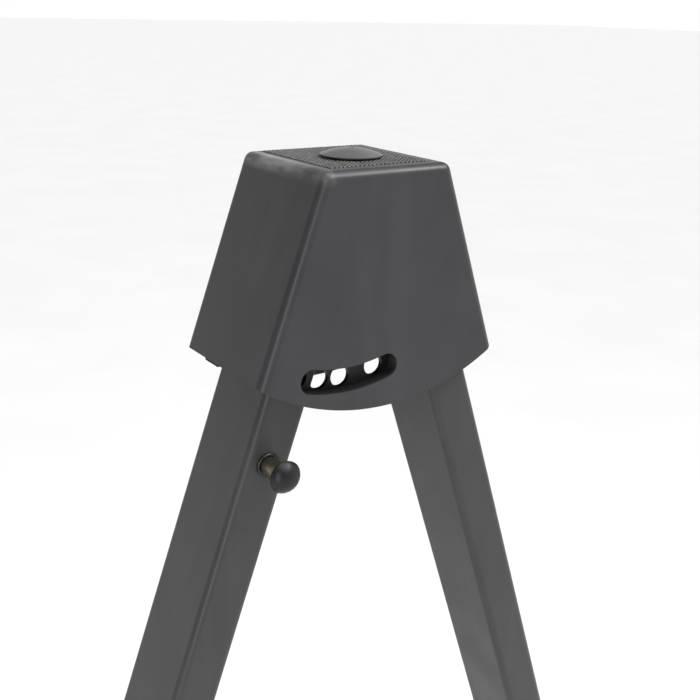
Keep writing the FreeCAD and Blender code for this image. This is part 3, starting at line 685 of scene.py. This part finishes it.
def make_pull_pin(name, place):
    """Seat ring, barrel, stem and mushroom knob."""
    pin = pin_place(place)
    seat = turned(name + "_seat_ring", [(SPIGOT_R, 0.0), (SEAT_R, 0.0), (SEAT_R, SEAT_THICK - 0.5),
                                        (SEAT_R - 0.5, SEAT_THICK), (SPIGOT_R, SEAT_THICK),
                                        (SPIGOT_R, 0.0)], pin)
    dress(seat, name + "_leg", "seat")
    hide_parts(name + "_pin_seat")

    end = BARREL_OUT
    floor = SEAT_THICK + BARREL_FLOOR
    barrel = turned(name + "_barrel", [
        (SPIGOT_R, -TUBE_WALL), (SPIGOT_R, SEAT_THICK), (BARREL_R - 0.5, SEAT_THICK),
        (BARREL_R - 0.5, SEAT_THICK + 0.7), (BARREL_R, SEAT_THICK + 1.1), (BARREL_R, end - 0.6),
        (BARREL_R - 0.15, end - 0.2), (BARREL_R - 0.6, end), (STEM_R + PIN_GAP, end),
        (STEM_R + PIN_GAP, end - BARREL_CAP), (BARREL_BORE, end - BARREL_CAP), (BARREL_BORE, floor),
        (PIN_R + PIN_GAP, floor), (PIN_R + PIN_GAP, -TUBE_WALL), (SPIGOT_R, -TUBE_WALL)], pin)
    dress(barrel, name + "_leg", "nickel")
    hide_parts(name + "_pin_barrel")

    rise = KNOB_LENGTH - KNOB_EDGE
    dome_r = (KNOB_R ** 2 + rise ** 2) / (2 * rise)
    centre = KNOB_LENGTH - dome_r
    edge_deg = math.degrees(math.asin((KNOB_EDGE + 0.5 - centre) / dome_r))
    profile = [(0.0, 0.0), (KNOB_NECK_R, 0.0), (KNOB_NECK_R + 1.3, 0.3), (KNOB_R - 0.8, 1.1),
               (KNOB_R - 0.15, 1.9), (KNOB_R, KNOB_EDGE)]
    profile += arc(centre, dome_r, edge_deg, 90.0, 22)
    knob = turned(name + "_knob", profile, pin @ Matrix.Translation((0, 0, end + KNOB_GAP)), 96)
    dress(knob, name + "_plunger", "knob")
    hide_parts(name + "_pull_knob")


def make_spring(name):
    """The spring inside the barrel, riding with the leg on its own copy of the mesh."""
    spring = refined(name + "_pin_spring", 0.0)
    dress(spring, name + "_leg", "zinc")
    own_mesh(spring)


# ---------------------------------------------------------------- the whole stand
HUB_FINISH = (
    # nodes, material, slot, bevel in millimetres
    (("front_cheek_plate", "rear_cheek_plate", "bracket_top_plate", "rear_ear_pair"),
     "bracket", "bracket_paint", 0.35),
    (("rear_stop_pin",), "zinc", "zinc_steel", 0.4),
    (("leg_stop_spacers",), "zinc", "zinc_steel", 0.2),
    (("leg_bumpers",), "bumper", "bumper_rubber", 0.8),
    (("centre_bolt", "centre_nut", "spacer_bolts", "spacer_nuts", "front_pivot_bolts",
      "front_pivot_nuts", "rear_pivot_bolt", "rear_pivot_nut"), "zinc", "zinc_steel", 0.3),
)
LEG_FINISH = {
    # piece: body, material, slot, bevel in millimetres
    "core_tube": ("core", "core", "core_paint", 0.2),
    "pivot_sleeve": ("core", "zinc", "zinc_steel", 0.2),
    "pivot_washers": ("core", "nylon", "nylon_black", 0.4),
    "travel_collar": ("core", "core", "core_paint", 0.3),
    "lower_glide": ("core", "nylon", "nylon_black", 0.3),
    "upper_bush": ("leg", "nylon", "nylon_black", 0.3),
    "pull_pin": ("plunger", "zinc", "zinc_steel", 0.15),
}


def make_hub():
    """Everything that stays with the hub."""
    make_cover()
    for nodes, material, slot, bevel in HUB_FINISH:
        for node in nodes:
            dress(refined(node, bevel), "hub", material)
    make_pad()
    make_cap()


def make_leg(name):
    """One leg: its core, its outer tube and boot, and its pull pin."""
    place = leg_frame(name)
    for part, (body, material, slot, bevel) in LEG_FINISH.items():
        dress(refined(name + "_" + part, bevel), name + "_" + body, material)
    make_outer_tube(name, place)
    make_boot(name, place)
    make_pull_pin(name, place)
    make_spring(name)


# ------------------------------------------------------------------ camera, studio
def make_camera():
    """A camera in front of the hub's left corner, looking slightly down on it."""
    yaw, pitch, roll = math.radians(34.37), math.radians(18.42), math.radians(1.48)
    ahead = Vector((math.sin(yaw) * math.cos(pitch), math.cos(yaw) * math.cos(pitch),
                    -math.sin(pitch)))
    right = Vector((math.cos(yaw), -math.sin(yaw), 0.0))
    up = right.cross(ahead)
    right, up = (right * math.cos(roll) + up * math.sin(roll),
                 up * math.cos(roll) - right * math.sin(roll))
    data = bpy.data.cameras.new("camera")
    data.sensor_width = 36.0
    data.lens = 53.62
    data.clip_start, data.clip_end = 0.01, 100.0
    camera = bpy.data.objects.new("camera", data)
    turn = Matrix((right, up, -ahead)).transposed().to_4x4()
    camera.matrix_world = Matrix.Translation(HUB @ Vector((-324.3, -439.4, 190.9))) @ turn
    bpy.context.scene.collection.objects.link(camera)
    bpy.context.scene.camera = camera


def make_floor():
    """A wide pale floor; it is stage, not part of the stand."""
    bm = bmesh.new()
    bmesh.ops.create_grid(bm, x_segments=1, y_segments=1, size=40.0)
    floor = new_object("floor", bm)
    nodes = Nodes("studio_floor")
    fine = nodes.noise(3.0, 2.0)
    shade = nodes.mix(nodes.spread(fine, 0.3, 0.7, 0.0, 1.0), (0.87, 0.87, 0.87),
                      (0.89, 0.89, 0.89))
    nodes.finish(shade, nodes.spread(fine, 0.3, 0.7, 0.75, 0.8))
    floor.data.materials.append(nodes.material)


def make_light(name, at, size, power, target):
    """A soft rectangular light at a place in the hub frame, turned to another."""
    data = bpy.data.lights.new(name, "AREA")
    data.shape = "RECTANGLE"
    data.size, data.size_y = size
    data.energy = power
    light = bpy.data.objects.new(name, data)
    start = HUB @ Vector(at)
    toward = (HUB @ Vector(target)) - start
    light.rotation_mode = "QUATERNION"
    light.rotation_quaternion = toward.to_track_quat("-Z", "Y")
    light.location = start
    bpy.context.scene.collection.objects.link(light)


def make_overhead():
    """One very soft light from high above, a little from the front and right."""
    data = bpy.data.lights.new("overhead", "SUN")
    data.energy = 2.45
    data.angle = math.radians(60.0)
    light = bpy.data.objects.new("overhead", data)
    light.rotation_mode = "QUATERNION"
    light.rotation_quaternion = Vector((-0.2, 0.35, -1.0)).to_track_quat("-Z", "Y")
    bpy.context.scene.collection.objects.link(light)


def make_world():
    """White round the horizon on the far side, greyer overhead and to the left."""
    world = bpy.data.worlds.new("studio")
    world.use_nodes = True
    tree = world.node_tree
    coords = tree.nodes.new("ShaderNodeTexCoord")

    def along(direction, start, end, start_level, end_level):
        """A level that changes with how far the sky's point lies along a direction."""
        reach = tree.nodes.new("ShaderNodeVectorMath")
        reach.operation = "DOT_PRODUCT"
        reach.inputs[1].default_value = direction
        level = tree.nodes.new("ShaderNodeMapRange")
        level.interpolation_type = "SMOOTHSTEP"
        for socket, value in (("From Min", start), ("From Max", end),
                              ("To Min", start_level), ("To Max", end_level)):
            level.inputs[socket].default_value = value
        tree.links.new(coords.outputs["Generated"], reach.inputs[0])
        tree.links.new(reach.outputs["Value"], level.inputs["Value"])
        return level.outputs["Result"]

    both = tree.nodes.new("ShaderNodeMath")
    both.operation = "MULTIPLY"
    tree.links.new(along((0.0, 0.0, 1.0), 0.12, 0.5, 1.0, 0.45), both.inputs[0])
    tree.links.new(along((0.9, 0.44, 0.0), -0.5, 0.6, 0.4, 1.0), both.inputs[1])
    tree.links.new(both.outputs[0], tree.nodes["Background"].inputs["Color"])
    bpy.context.scene.world = world


def make_studio():
    """The sky, the overhead light and two soft boxes aimed at the hub's middle."""
    make_world()
    make_overhead()
    bpy.context.scene.view_settings.view_transform = "Standard"
    middle = (0, 40, 60)
    make_light("edge_strip", (-1000, -840, 160), (0.07, 1.2), 5.0, middle)
    make_light("top_front_box", (700, -460, 1000), (0.7, 0.16), 7.0, middle)


make_camera()
make_studio()
make_floor()
make_hub()
for leg_name in LEG_NAMES:
    make_leg(leg_name)
